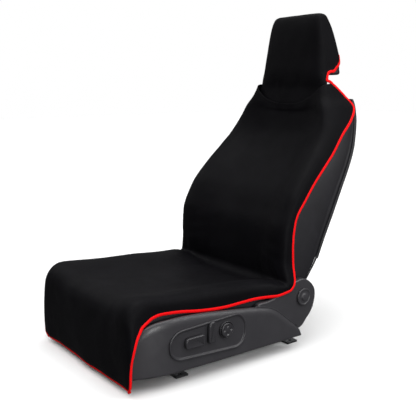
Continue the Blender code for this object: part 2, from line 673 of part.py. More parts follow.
for tag, turn in SIDES:
    member = piece("back_side_" + tag, "backrest", BLACK_STEEL, lambda bm, s=turn: back_side(bm, s))
    boolean(member, "DIFFERENCE", lambda bm, s=turn: rod(
        bm, (s * .185, HINGE_Y, HINGE_Z), (s * .200, HINGE_Y, HINGE_Z), .0066, 12))
    piece("headrest_guide_" + tag, "backrest", PLASTIC, lambda bm, s=turn: headrest_guide(bm, s))
reach = MEMBER[0][4] - MEMBER_HALF - GAP
top_reach = TOP_TUBE[2] - MEMBER_HALF - GAP
piece("back_top_tube", "backrest", BLACK_STEEL,
      lambda bm: rod(bm, (-top_reach, *TOP_TUBE[:2]), (top_reach, *TOP_TUBE[:2]), .0095, 14))
piece("back_cross_plate", "backrest", BLACK_STEEL,
      lambda bm: plate(bm, [(.196, .215), (.199, .213), (.232, .272), (.229, .274)], -reach, reach, "x"))
piece("recliner_shaft", "backrest", STEEL,
      lambda bm: rod(bm, (-.209, HINGE_Y, HINGE_Z), (.209, HINGE_Y, HINGE_Z), .0060, 12))
piece("recline_motor", "backrest", BLACK_STEEL,
      lambda bm: lathe(bm, (.186, HINGE_Y, HINGE_Z), (-1, 0, 0),
                       [(0, .024), (.018, .024), (.020, .017), (.082, .017), (.086, .012), (.086, .0064),
                        (0, .0064)], 18, hollow=True))
piece("lumbar_plate", "lumbar", PLASTIC,
      lambda bm: plate(bm, [(.202, .290), (.205, .2885), (.257, .398), (.254, .400)], -.120, .120, "x"))

# ---------------------------------------------------------------- backrest pad, cover and panel
# each row: bolster front (y, z), cover edge (y, z), rear corner (y, z), half width front and rear,
# and the y of the hollow behind the foam
BACK = [
    (.074, .234, .121, .228, .214, .222, .263, .243, .156),
    (.072, .275, .115, .270, .243, .262, .266, .246, .178),
    (.073, .322, .109, .322, .268, .325, .268, .249, .192),
    (.079, .378, .113, .370, .300, .385, .268, .247, .212),
    (.098, .424, .127, .412, .325, .430, .266, .244, .236),
    (.123, .470, .160, .452, .350, .476, .262, .241, .260),
    (.159, .514, .201, .497, .375, .516, .257, .236, .284),
    (.195, .552, .243, .536, .398, .556, .251, .231, .306),
    (.237, .595, .292, .580, .420, .600, .243, .223, .326),
    (.278, .643, .345, .637, .439, .652, .233, .211, .342),
    (.304, .690, .402, .684, .452, .688, .217, .199, .346),
    (.318, .728, .432, .722, .462, .726, .198, .182, .349)]
NECK = [(.325, .757, .418, .755, .178), (.3305, .781, .386, .785, .1635)]
BACK_DIP = 0.030
WING = 0.030                 # width of the foam beside the hollow


def back_row(row, trim=0.0):
    """Points across the cover from the middle to the left edge at one height of the backrest."""
    front_y, front_z, side_y, side_z, half = row
    drop = Vector((0, side_y - front_y, side_z - front_z))
    depth = drop.length - trim
    down = drop.normalized()
    dip = BACK_DIP * min(1.0, max(0.25, (.760 - front_z) / .150))
    out = []
    for share, hollow, fall in CROSS:
        point = Vector((share * half, front_y, front_z)) + down * (fall * depth)
        out.append(point + Vector((0, .94, -.34)) * dip * hollow)
    return out


def cover_back(bm):
    table = [(r[0], r[1], r[2], r[3], r[6]) for r in BACK] + NECK
    shell(bm, [both_sides(back_row(r, BEAD_R + BEAD_GAP)) for r in smooth_path(table, BACK_ROWS)], COVER_T)


def binding_back(bm, side):
    table = [(r[6], r[2], r[3]) for r in BACK] + [(r[4], r[2], r[3]) for r in NECK]
    sweep(bm, [(side * x, y, z) for x, y, z in smooth_path(table, BACK_ROWS)], BEAD_R, 6)


def backrest_pad(bm):
    """Foam back with bolsters, and a hollow behind for the frame."""
    rings = []
    for fy, fz, sy, sz, ry, rz, half, rear_half, pocket in smooth_path(BACK, 14):
        dip = BACK_DIP * min(1.0, max(0.25, (.760 - fz) / .150))
        half, rear_half = half - .0055, rear_half - .004
        fy, ry = fy + PAD_INSET, ry - PAD_INSET
        pz = fz * .35 + rz * .65
        side = [(0, fy + dip, fz - .34 * dip), (.26 * half, fy + dip, fz - .34 * dip),
                (.50 * half, fy + .8 * dip, fz - .27 * dip), (.80 * half, fy + .002, fz),
                (.95 * half, fy + .2 * (sy - fy), fz), (half, fy + .65 * (sy - fy), (fz + sz) / 2),
                (half - .002, sy + .010, sz), (rear_half + .002, ry - .012, rz),
                (rear_half - .010, ry, rz), (rear_half - WING, ry, rz)]
        inner_x = rear_half - WING
        side += [(inner_x, pocket, pz), (0, pocket, pz)]
        ring = side + [(-x, y, z) for x, y, z in reversed(side[1:-1])]
        rings.append(ring)
    loft(bm, rings)


def back_panel(bm):
    """Moulded rear shell with edges turned forward."""
    rows = []
    for row in smooth_path([(r[4], r[5], r[7]) for r in BACK[1:]] + [(.467, .746, .168)], 14):
        y, z, half = row
        line = [(0, y + .001, z), (.5 * half, y + .001, z), (.85 * half, y, z), (.95 * half, y - .0015, z),
                (half - .002, y - .006, z), (half, y - .013, z)]
        rows.append([Vector((-p[0], p[1], p[2])) for p in reversed(line[1:])] + [Vector(p) for p in line])
    shell(bm, [list(reversed(row)) for row in rows], WALL)


piece("backrest_pad", "backrest", VINYL, backrest_pad)
piece("cover_back", "backrest", NEOPRENE, cover_back)
for tag, turn in SIDES:
    piece("binding_back_" + tag, "backrest", RED, lambda bm, s=turn: binding_back(bm, s))
piece("back_panel", "backrest", PLASTIC, back_panel)

# ---------------------------------------------------------------- headrest
# each row: height, front y, rear y, half width
HEADREST = [(.8230, .346, .450, .131), (.838, .330, .450, .1345), (.883, .334, .446, .131),
            (.932, .339, .431, .1235), (.972, .344, .418, .116), (.994, .350, .408, .109),
            (1.009, .360, .397, .096), (1.0175, .371, .386, .074)]
HOOD_STEPS = 24
SQUARENESS = 0.38            # 1 is round, 0 is a sharp rectangle


def headrest_ring(row, shrink, lift=0.0):
    z, front, rear, half = row
    mid, deep = (front + rear) / 2, (rear - front) / 2 - shrink
    ring = []
    for k in range(HOOD_STEPS):
        a = 2 * math.pi * k / HOOD_STEPS
        c, s = math.cos(a), math.sin(a)
        y = mid - math.copysign(abs(c) ** SQUARENESS, c) * deep
        x = math.copysign(abs(s) ** SQUARENESS, s) * (half - shrink)
        ring.append((x, y, z + lift * max(0.0, min(1.0, (y - .375) / .055))))
    return ring


def headrest_pad(bm):
    rows = [(z - (.004 if z > .9 else 0), f, r, w) for z, f, r, w in HEADREST]
    loft(bm, [headrest_ring(row, PAD_INSET + .002) for row in rows])


def cover_hood(bm):
    """Cap over the headrest whose hem rises towards the back."""
    lifts = [.050, .042, .012] + [0.0] * (len(HEADREST) - 3)
    outer = [headrest_ring(row, 0, lift) for row, lift in zip(HEADREST, lifts)]
    inner = [headrest_ring(row, COVER_T, lift) for row, lift in zip(HEADREST, lifts)]
    inner[-1] = [(x, y, z - .0018) for x, y, z in inner[-1]]
    loft(bm, list(reversed(inner)) + outer)


def binding_hood(bm):
    hem = headrest_ring(HEADREST[0], -.0012, .050)
    rear = [p for p in hem if p[1] > .365]
    rear = sorted((p for p in rear if p[0] >= 0), key=lambda p: (p[1], -p[0])) + \
        sorted((p for p in rear if p[0] < 0), key=lambda p: (-p[1], -p[0]))
    sweep(bm, [(x, y, z - BEAD_R - BEAD_GAP) for x, y, z in rear], BEAD_R, 6)


def post(bm, side):
    low, high = .640, .875
    rod(bm, (side * POST_X, post_at(low), low), (side * POST_X, post_at(high), high), POST_R, 12)


pad = piece("headrest_pad", "headrest", VINYL, headrest_pad)
for tag, turn in SIDES:
    boolean(pad, "DIFFERENCE", lambda bm, s=turn: rod(
        bm, (s * POST_X, post_at(.800), .800), (s * POST_X, post_at(.8755), .8755), POST_R + .0004, 12))
    piece("headrest_post_" + tag, "headrest", STEEL, lambda bm, s=turn: post(bm, s))
piece("cover_hood", "headrest", NEOPRENE, cover_hood)
piece("binding_hood", "headrest", RED, binding_hood)
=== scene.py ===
"""Looks for the car front seat in its slip-on cover: fabric, foam, mouldings, switches and materials."""
import math

import bmesh
import bpy
import numpy as np
from mathutils import Matrix, Vector


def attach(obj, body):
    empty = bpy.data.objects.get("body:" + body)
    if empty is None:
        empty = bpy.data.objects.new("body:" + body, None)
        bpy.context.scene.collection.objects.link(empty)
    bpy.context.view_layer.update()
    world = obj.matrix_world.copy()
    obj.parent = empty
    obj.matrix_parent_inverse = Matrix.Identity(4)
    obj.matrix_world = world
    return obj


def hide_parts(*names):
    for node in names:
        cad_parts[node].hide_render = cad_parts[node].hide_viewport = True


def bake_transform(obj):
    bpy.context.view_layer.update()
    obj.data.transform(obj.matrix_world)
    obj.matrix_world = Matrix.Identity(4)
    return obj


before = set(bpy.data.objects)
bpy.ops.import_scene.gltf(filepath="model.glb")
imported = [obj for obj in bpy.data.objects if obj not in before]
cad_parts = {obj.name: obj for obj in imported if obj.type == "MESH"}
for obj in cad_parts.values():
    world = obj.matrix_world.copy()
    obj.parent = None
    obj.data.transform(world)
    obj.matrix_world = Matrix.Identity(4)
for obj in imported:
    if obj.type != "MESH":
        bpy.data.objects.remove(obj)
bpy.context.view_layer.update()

# ---------------------------------------------------------------- camera and light
CAMERA_AT = Vector((1.698, -1.250, 0.796))
CAMERA_TURN, CAMERA_DOWN, CAMERA_ROLL = (math.radians(a) for a in (53.46, 10.66, -0.35))
CAMERA_SENSOR, CAMERA_LENS = 36.0, 58.77         # mm
CAMERA_SHIFT = (-0.0089, 0.0102)
CAMERA_REACH = 60.0
# lamp: place, target, size, watts
LAMPS = {"key": ((2.4, 1.6, 1.5), (0.1, 0.2, 0.5), (0.5, 1.8), 24),
         "nose": ((2.9, -0.45, 0.30), (0.2, -0.4, 0.12), (0.30, 0.7), 30),
         "front": ((0.7, -3.0, 1.0), (0, -0.3, 0.25), (0.3, 1.5), 7),
         "far_side": ((-2.6, -0.9, 1.9), (0, 0, 0.5), (1.0, 1.8), 4)}
SUN_ENERGY, SUN_SPREAD, SUN_TILT = 3.0, 80, (4, 8)      # the angles are in degrees
SKY_FROM, SKY_LOW, SKY_HIGH = -0.1, 0.09, 0.45          # the sky brightens with height
WHITE = (1, 1, 1, 1)


def make_camera():
    camera = bpy.data.objects.new("camera", bpy.data.cameras.new("camera"))
    bpy.context.scene.collection.objects.link(camera)
    forward = Vector((-math.sin(CAMERA_TURN) * math.cos(CAMERA_DOWN),
                      math.cos(CAMERA_TURN) * math.cos(CAMERA_DOWN), -math.sin(CAMERA_DOWN)))
    level = Vector((math.cos(CAMERA_TURN), math.sin(CAMERA_TURN), 0))
    upright = level.cross(forward)
    right = level * math.cos(CAMERA_ROLL) + upright * math.sin(CAMERA_ROLL)
    up = upright * math.cos(CAMERA_ROLL) - level * math.sin(CAMERA_ROLL)
    turn = Matrix((right, up, -forward)).transposed().to_4x4()
    camera.matrix_world = Matrix.Translation(CAMERA_AT) @ turn
    camera.data.sensor_width = CAMERA_SENSOR
    camera.data.lens = CAMERA_LENS
    camera.data.shift_x, camera.data.shift_y = CAMERA_SHIFT
    camera.data.clip_end = CAMERA_REACH
    bpy.context.scene.camera = camera


def area_light(name, place, target, size, power):
    light = bpy.data.lights.new(name, "AREA")
    light.shape = "RECTANGLE"
    light.size, light.size_y = size
    light.energy = power
    lamp = bpy.data.objects.new(name, light)
    bpy.context.scene.collection.objects.link(lamp)
    lamp.location = place
    lamp.rotation_euler = (Vector(target) - Vector(place)).to_track_quat("-Z", "Y").to_euler()


def make_light():
    """A sky that the camera sees as plain white, four soft lamps and a soft sun."""
    world = bpy.data.worlds.new("studio")
    bpy.context.scene.world = world
    world.use_nodes = True
    nodes, links = world.node_tree.nodes, world.node_tree.links
    sky = nodes["Background"]
    around = nodes.new("ShaderNodeTexCoord")
    split = nodes.new("ShaderNodeSeparateXYZ")
    fade = nodes.new("ShaderNodeMapRange")
    fade.inputs["From Min"].default_value = SKY_FROM
    fade.inputs["To Min"].default_value = SKY_LOW
    fade.inputs["To Max"].default_value = SKY_HIGH
    links.new(around.outputs["Generated"], split.inputs["Vector"])
    links.new(split.outputs["Z"], fade.inputs["Value"])
    links.new(fade.outputs["Result"], sky.inputs["Strength"])
    sky.inputs["Color"].default_value = WHITE
    paper = nodes.new("ShaderNodeBackground")
    paper.inputs["Color"].default_value = WHITE
    seen = nodes.new("ShaderNodeLightPath")
    both = nodes.new("ShaderNodeMixShader")
    links.new(seen.outputs["Is Camera Ray"], both.inputs["Fac"])
    links.new(sky.outputs["Background"], both.inputs[1])
    links.new(paper.outputs["Background"], both.inputs[2])
    links.new(both.outputs["Shader"], nodes["World Output"].inputs["Surface"])
    for name, lamp in LAMPS.items():
        area_light(name, *lamp)
    sun = bpy.data.lights.new("overhead", "SUN")
    sun.energy = SUN_ENERGY
    sun.angle = math.radians(SUN_SPREAD)
    overhead = bpy.data.objects.new("overhead", sun)
    bpy.context.scene.collection.objects.link(overhead)
    overhead.rotation_euler = (math.radians(SUN_TILT[0]), math.radians(SUN_TILT[1]), 0)
    bpy.context.scene.view_settings.view_transform = "Standard"


make_camera()
make_light()


# ---------------------------------------------------------------- materials
BRUSHED = (4, 400, 400)


class Shader:
    """Node-based material: a Principled shader with helpers for texture, colour and bump."""

    def __init__(self, name, **sockets):
        self.made = bpy.data.materials.new(name)
        self.made.use_nodes = True
        self.tree = self.made.node_tree
        self.main = self.tree.nodes["Principled BSDF"]
        for key, value in sockets.items():
            socket = self.main.inputs[key.replace("_", " ")]
            socket.default_value = (*value, 1.0) if isinstance(value, tuple) else value
        self.bumped = None

    def node(self, kind, **values):
        made = self.tree.nodes.new(kind)
        for key, value in values.items():
            if key in made.inputs:
                made.inputs[key].default_value = value
            else:
                setattr(made, key, value)
        return made

    def link(self, output, socket):
        self.tree.links.new(output, socket)

    def coords(self, kind="Object", scale=(1, 1, 1)):
        source = self.node("ShaderNodeTexCoord")
        mapping = self.node("ShaderNodeMapping")
        mapping.inputs["Scale"].default_value = scale
        self.link(source.outputs[kind], mapping.inputs["Vector"])
        return mapping.outputs["Vector"]

    def noise(self, vector, scale, detail=3.0, rough=0.55):
        made = self.node("ShaderNodeTexNoise", Scale=scale, Detail=detail, Roughness=rough)
        self.link(vector, made.inputs["Vector"])
        return made.outputs["Fac"]

    def voronoi(self, vector, scale, feature="F1"):
        made = self.node("ShaderNodeTexVoronoi", Scale=scale, feature=feature)
        self.link(vector, made.inputs["Vector"])
        return made.outputs["Distance"]

    def wave(self, vector, scale, direction="X", distortion=0.0):
        made = self.node("ShaderNodeTexWave", Scale=scale, Distortion=distortion,
                         bands_direction=direction)
        self.link(vector, made.inputs["Vector"])
        return made.outputs["Fac"]

    def math(self, operation, a, b):
        made = self.node("ShaderNodeMath", operation=operation)
        for socket, value in zip(made.inputs, (a, b)):
            if isinstance(value, (int, float)):
                socket.default_value = value
            else:
                self.link(value, socket)
        return made.outputs[0]

    def mixed(self, a, share_a, b, share_b):
        return self.math("ADD", self.math("MULTIPLY", a, share_a), self.math("MULTIPLY", b, share_b))

    def ramp(self, source, low, high, start=0.35, end=0.65):
        made = self.node("ShaderNodeValToRGB")
        for stop, place, colour in zip(made.color_ramp.elements, (start, end), (low, high)):
            stop.position = place
            stop.color = (*colour, 1.0)
        self.link(source, made.inputs["Fac"])
        return made.outputs["Color"]

    def spread(self, source, low, high):
        made = self.node("ShaderNodeMapRange")
        made.inputs["To Min"].default_value = low
        made.inputs["To Max"].default_value = high
        self.link(source, made.inputs["Value"])
        return made.outputs["Result"]

    def colour(self, source):
        self.link(source, self.main.inputs["Base Color"])

    def roughness(self, source):
        self.link(source, self.main.inputs["Roughness"])

    def bump(self, height, distance, strength=1.0):
        made = self.node("ShaderNodeBump", Strength=strength, Distance=distance)
        self.link(height, made.inputs["Height"])
        if self.bumped:
            self.link(self.bumped, made.inputs["Normal"])
        self.bumped = made.outputs["Normal"]
        self.link(self.bumped, self.main.inputs["Normal"])
        return self


def neoprene():
    """Black stretch fabric over thin foam: a fine jersey face, soft sheen and faint mottling."""
    m = Shader("neoprene", Roughness=0.52, Sheen_Weight=0.01, Sheen_Roughness=0.4, Specular_IOR_Level=0.07)
    m.main.inputs["Sheen Tint"].default_value = (0.75, 0.75, 0.80, 1)
    cloth = m.coords("UV")
    ribs = m.wave(cloth, 380, "X", 0.6)
    loops = m.wave(cloth, 300, "Y", 0.6)
    knit = m.math("MULTIPLY", ribs, loops)
    body = m.coords("Object")
    m.colour(m.ramp(m.mixed(m.noise(body, 9, 4), 0.8, knit, 0.2),
                    (0.0022, 0.0020, 0.0029), (0.0040, 0.0037, 0.0050)))
    m.roughness(m.spread(m.noise(body, 26, 3), 0.46, 0.58))
    m.bump(m.noise(body, 7, 2), 0.0016, 0.35)
    m.bump(m.noise(body, 420, 2), 0.00020, 0.35)
    return m.bump(knit, 0.00018, 0.55).made


def red_tape():
    """Folded ribbed tape along the cover's edge, with a row of stitches."""
    m = Shader("red_tape", Roughness=0.60, Sheen_Weight=0.02, Sheen_Roughness=0.4, Specular_IOR_Level=0.12)
    tape = m.coords("UV")
    ribs = m.wave(tape, 260, "Y")
    stitch = m.wave(m.coords("UV", (0, 1, 1)), 52, "Y")
    m.colour(m.ramp(m.mixed(m.noise(tape, 60, 3), 0.55, ribs, 0.45),
                    (0.90, 0.0010, 0.0025), (1.0, 0.0040, 0.0070)))
    m.roughness(m.spread(m.noise(tape, 90, 2), 0.48, 0.62))
    m.bump(stitch, 0.0003, 0.25)
    return m.bump(ribs, 0.00025, 0.6).made


def moulded(name, low, high, rough, grain=900.0, depth=0.00012):
    """Injection-moulded plastic with a fine leather-like grain."""
    m = Shader(name, Roughness=rough, Specular_IOR_Level=0.5)
    body = m.coords("Object")
    cells = m.voronoi(body, grain)
    m.colour(m.ramp(m.mixed(m.noise(body, 14, 5), 0.8, cells, 0.2), low, high, 0.3, 0.75))
    m.roughness(m.spread(m.noise(body, 60, 4), rough - 0.06, rough + 0.08))
    m.bump(m.noise(body, grain * 1.7, 2), depth * 0.6, 0.5)
    return m.bump(cells, depth, 0.6).made


def vinyl():
    """Dark grained upholstery of the seat itself, where the cover leaves it bare."""
    m = Shader("vinyl", Roughness=0.52, Specular_IOR_Level=0.42)
    body = m.coords("Object")
    creases = m.voronoi(body, 420, "DISTANCE_TO_EDGE")
    m.colour(m.ramp(m.mixed(m.noise(body, 11, 4), 0.7, creases, 0.6),
                    (0.0095, 0.0090, 0.0115), (0.0170, 0.0163, 0.0205)))
    m.roughness(m.spread(m.noise(body, 40, 3), 0.44, 0.62))
    m.bump(m.noise(body, 12, 2), 0.0010, 0.25)
    return m.bump(creases, 0.00025, 0.5).made


def metal(name, low, high, rough, metallic):
    """Bare or coated steel, faintly brushed along X."""
    m = Shader(name, Roughness=rough, Metallic=metallic)
    grain = m.noise(m.coords("Object", BRUSHED), 1.0, 4)
    m.colour(m.ramp(grain, low, high))
    m.roughness(m.spread(m.noise(m.coords("Object"), 35, 4), rough - 0.08, rough + 0.12))
    return m.bump(grain, 0.00008, 0.4).made


def foam():
    m = Shader("foam", Roughness=0.95, Specular_IOR_Level=0.2)
    body = m.coords("Object")
    cells = m.voronoi(body, 700)
    m.colour(m.ramp(m.noise(body, 25, 4), (0.40, 0.34, 0.20), (0.58, 0.51, 0.34)))
    return m.bump(cells, 0.0004, 0.7).made


def pale_floor():
    m = Shader("pale_floor", Roughness=0.85, Specular_IOR_Level=0.1)
    m.colour(m.ramp(m.noise(m.coords("Object"), 2.0, 2), (0.93, 0.93, 0.93), (0.96, 0.96, 0.96)))
    return m.made


NEOPRENE, RED_TAPE, VINYL, FOAM = neoprene(), red_tape(), vinyl(), foam()
GREY_PLASTIC = moulded("grey_plastic", (0.0300, 0.0290, 0.0330), (0.0400, 0.0390, 0.0435), 0.36)
PANEL_PLASTIC = moulded("panel_plastic", (0.0250, 0.0240, 0.0275), (0.0330, 0.0320, 0.0365), 0.38)
SWITCH_PLASTIC = moulded("switch_plastic", (0.0230, 0.0222, 0.0255), (0.0310, 0.0300, 0.0340), 0.30,
                         1400, 0.00006)
BACK_PLASTIC = moulded("back_plastic", (0.0085, 0.0085, 0.0100), (0.0145, 0.0145, 0.0165), 0.48)
STEEL = metal("zinc_steel", (0.36, 0.37, 0.38), (0.52, 0.53, 0.54), 0.34, 1.0)
BLACK_STEEL = metal("black_steel", (0.018, 0.018, 0.020), (0.040, 0.040, 0.043), 0.48, 0.5)


# ---------------------------------------------------------------- mesh helpers
def spline(points, count, closed=False):
    """Catmull-Rom curve of `count` rows through the given rows of numbers."""
    p = np.array(points, float)
    ends = np.vstack([p[-1:], p, p[:2]]) if closed else np.vstack([p[:1], p, p[-1:]])
    spans = len(p) if closed else len(p) - 1
    at = np.linspace(0, spans, count, endpoint=not closed)
    i = np.minimum(at.astype(int), spans - 1)
    t = (at - i)[:, None]
    a, b, c, d = (ends[i + k] for k in range(4))
    return 0.5 * (2 * b + (c - a) * t + (2 * a - 5 * b + 4 * c - d) * t ** 2
                  + (3 * b - a - 3 * c + d) * t ** 3)


def follow(table, at):
    """Values of a table, whose first column runs up, at the places `at`, smoothly."""
    fine = spline(table, 12 * len(table))
    return [np.interp(at, fine[:, 0], fine[:, k]) for k in range(1, fine.shape[1])]


def unit(v):
    return v / (np.linalg.norm(v, axis=-1, keepdims=True) + 1e-12)


def step(value, low, high):
    t = np.clip((value - low) / (high - low), 0, 1)
    return t * t * (3 - 2 * t)


def hump(value, centre, width):
    return np.exp(-((value - centre) / width) ** 2)


def grid_normals(grid, wrap=False):
    """Normals of a grid of points, on the side of (across x along)."""
    if wrap:
        across = np.roll(grid, -1, 1) - np.roll(grid, 1, 1)
    else:
        across = np.gradient(grid, axis=1)
    return unit(np.cross(across, np.gradient(grid, axis=0)))


def new_mesh(name, points, faces, material, uv=None, body=None, slot=None):
    mesh = bpy.data.meshes.new(name)
    mesh.from_pydata([tuple(p) for p in np.asarray(points, float).reshape(-1, 3)], [], faces)
    if uv is not None:
        layer = mesh.uv_layers.new(name="cloth")
        loops = np.array([loop.vertex_index for loop in mesh.loops])
        layer.data.foreach_set("uv", np.asarray(uv, float).reshape(-1, 2)[loops].ravel())
    mesh.shade_smooth()
    mesh.materials.append(material)
    made = bpy.data.objects.new(name, mesh)
    bpy.context.scene.collection.objects.link(made)
    if body:
        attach(made, body)
    return made


def quads(rows, cols, start=0, wrap=False, flip=False):
    i, j = np.meshgrid(np.arange(rows - 1), np.arange(cols if wrap else cols - 1), indexing="ij")
    k = (j + 1) % cols
    face = np.stack([i * cols + j, i * cols + k, (i + 1) * cols + k, (i + 1) * cols + j], -1) + start
    face = face.reshape(-1, 4)
    return (face[:, ::-1] if flip else face).tolist()


def metric(grid):
    """Cloth coordinates in metres: across from the middle, and along."""
    u = np.cumsum(np.linalg.norm(np.diff(grid, axis=1, prepend=grid[:, :1]), axis=2), axis=1)
    u -= u[:, u.shape[1] // 2][:, None]
    v = np.cumsum(np.linalg.norm(np.diff(grid, axis=0, prepend=grid[:1]), axis=2).mean(1))
    return np.stack([u, np.broadcast_to(v[:, None], u.shape)], -1)


def sheet_mesh(name, grid, thickness, material, wrap=False, **more):
    """Closed sheet: `grid` is its outer face, thickened inwards, with a square rim."""
    rows, cols = grid.shape[:2]
    normal = grid_normals(grid, wrap)
    inner = grid - normal * thickness
    faces = quads(rows, cols, 0, wrap) + quads(rows, cols, rows * cols, wrap, True)
    if wrap:
        border = [[(0, j) for j in range(cols)], [(rows - 1, j) for j in range(cols - 1, -1, -1)]]
    else:
        border = [[(0, j) for j in range(cols)] + [(i, cols - 1) for i in range(1, rows)]
                  + [(rows - 1, j) for j in range(cols - 2, -1, -1)]
                  + [(i, 0) for i in range(rows - 2, 0, -1)]]
    for ring in border:
        for a, b in zip(ring, ring[1:] + ring[:1]):
            p, q = a[0] * cols + a[1], b[0] * cols + b[1]
            faces.append([q, p, p + rows * cols, q + rows * cols])
    uv = metric(grid)
    return new_mesh(name, np.concatenate([grid.reshape(-1, 3), inner.reshape(-1, 3)]), faces, material,
                    np.concatenate([uv.reshape(-1, 2)] * 2), **more)


def skin(name, rings, material, **more):
    """Closed skin through rings of equal length, capped at both ends."""
    rings = np.asarray(rings, float)
    rows, cols = rings.shape[:2]
    faces = quads(rows, cols, 0, True)
    faces.append(list(range(cols))[::-1])
    faces.append(list(range((rows - 1) * cols, rows * cols)))
    made = new_mesh(name, rings, faces, material, metric(rings), **more)
    tidy_normals(made)
    return made


def tidy_normals(made):
    bm = bmesh.new()
    bm.from_mesh(made.data)
    bmesh.ops.recalc_face_normals(bm, faces=bm.faces)
    bm.to_mesh(made.data)
    bm.free()


def tape(name, path, normals, wide, thick, material, closed=False, **more):
    """Folded tape along a path: a flat oval section whose wide side lies in the fabric."""
    path = np.asarray(path, float)
    tangent = unit(np.roll(path, -1, 0) - np.roll(path, 1, 0) if closed else np.gradient(path, axis=0))
    flat = unit(np.cross(tangent, normals))
    up = np.cross(flat, tangent)
    turn = np.linspace(0, 2 * math.pi, 12, endpoint=False)
    c, s = np.cos(turn), np.sin(turn)
    c = np.sign(c) * np.abs(c) ** 0.75
    s = np.sign(s) * np.abs(s) ** 0.85
    rings = (path[:, None] + flat[:, None] * (c * wide / 2)[None, :, None]
             + up[:, None] * (s * thick / 2)[None, :, None])
    if not closed:
        return skin(name, rings, material, **more)
    rows, cols = rings.shape[:2]
    rings = np.concatenate([rings, rings[:1]])
    return new_mesh(name, rings, quads(rows + 1, cols, 0, True), material, metric(rings), **more)


def even(path, gap):
    """Points at an even gap along a path."""
    path = np.asarray(path, float)
    run = np.r_[0, np.cumsum(np.linalg.norm(np.diff(path, axis=0), axis=1))]
    at = np.linspace(0, run[-1], max(8, int(run[-1] / gap)))
    return np.stack([np.interp(at, run, path[:, k]) for k in range(path.shape[1])], 1)


def lumps(points, scale, seed):
    """Smooth, repeatable unevenness in the range -1 to 1."""
    rng = np.random.default_rng(seed)
    out = np.zeros(points.shape[:-1])
    for k in range(7):
        turn = unit(rng.normal(size=3)) * scale * (0.6 + 0.25 * k)
        out += np.sin(points @ turn * 2 * math.pi + rng.uniform(0, 6.28)) / (1 + 0.35 * k)
    return out / 3.2


# ---------------------------------------------------------------- seat cover
# each row: bolster's top or front edge (y, z), cover edge on the side (y, z), half width,
# depth of the hollow in the middle, and the hollow's direction (y, z)
COVER = [
    (-.449, .0165, -.4485, .0165, .254, 0, 0, -1), (-.4545, .028, -.4500, .0275, .2640, 0, 0, -1),
    (-.456, .040, -.4500, .041, .2670, 0, 0, -1), (-.456, .066, -.4495, .070, .2690, 0, 0, -1),
    (-.456, .093, -.4470, .099, .2705, 0, .1, -1), (-.455, .128, -.4400, .128, .2712, .001, .2, -1),
    (-.453, .162, -.4300, .157, .2700, .003, .3, -1), (-.4515, .186, -.4200, .172, .2670, .006, .3, -1),
    (-.448, .208, -.4100, .184, .2630, .010, .3, -1), (-.437, .229, -.3945, .1925, .2600, .013, .25, -1),
    (-.417, .245, -.376, .202, .2585, .016, .2, -1), (-.389, .250, -.352, .206, .258, .019, .1, -1),
    (-.335, .245, -.322, .205, .260, .021, 0, -1), (-.288, .241, -.284, .201, .261, .022, 0, -1),
    (-.240, .238, -.240, .194, .262, .022, 0, -1), (-.190, .236, -.190, .188, .262, .022, 0, -1),
    (-.140, .234, -.140, .185, .262, .022, 0, -1), (-.088, .230, -.088, .186, .262, .022, 0, -1),
    (-.035, .227, -.035, .187, .262, .022, 0, -1), (0, .2245, .002, .1865, .268, .022, 0, -1),
    (.030, .2215, .036, .1865, .2785, .022, 0, -1), (.050, .2185, .055, .1875, .2795, .024, .1, -1),
    (.064, .2155, .074, .190, .2800, .027, .3, -.95), (.0725, .2155, .091, .1935, .2800, .029, .75, -.66),
    (.0765, .222, .103, .2035, .2795, .029, .92, -.4), (.0755, .234, .111, .216, .2765, .028, .94, -.34),
    (.0735, .252, .113, .2385, .2715, .028, .94, -.34), (.072, .275, .112, .267, .267, .029, .94, -.34),
    (.073, .322, .109, .322, .268, .030, .94, -.34), (.079, .378, .113, .370, .268, .030, .94, -.34),
    (.098, .424, .127, .412, .266, .030, .94, -.34), (.123, .470, .160, .452, .263, .030, .94, -.34),
    (.159, .514, .201, .497, .257, .030, .94, -.34), (.195, .552, .243, .536, .251, .030, .94, -.34),
    (.237, .595, .292, .580, .243, .029, .94, -.34), (.278, .643, .345, .637, .233, .023, .94, -.34),
    (.304, .690, .402, .684, .217, .011, .94, -.34), (.317, .728, .430, .722, .2005, .005, .94, -.34),
    (.3235, .757, .414, .753, .1800, .002, .94, -.34), (.3270, .781, .384, .785, .1660, .001, .94, -.34),
    (.3285, .793, .370, .797, .1595, 0, .94, -.34)]
# each row: share of the half width, share of the hollow's depth, share of the fall to the cover edge
CROSS = [(0, 1, 0), (.13, 1, 0), (.26, .99, 0), (.38, .93, 0), (.50, .80, -.005), (.59, .57, -.012),
         (.66, .35, -.03), (.73, .15, -.06), (.80, .04, -.095), (.85, .01, -.115), (.90, 0, -.115),
         (.94, 0, -.075), (.972, 0, .01), (.993, 0, .15), (1.004, 0, .38), (1.004, 0, .70), (1, 0, 1)]
COVER_T = .0028
COVER_DETAIL, CROSS_DETAIL = 4, 41               # rows for each row of COVER, columns in half a row
NECK_SAG = (.061, .011)                          # how far the top edge hangs down, and lies forward
TAPE_WIDE, TAPE_THICK, TAPE_STEP = .0098, .0056, .004


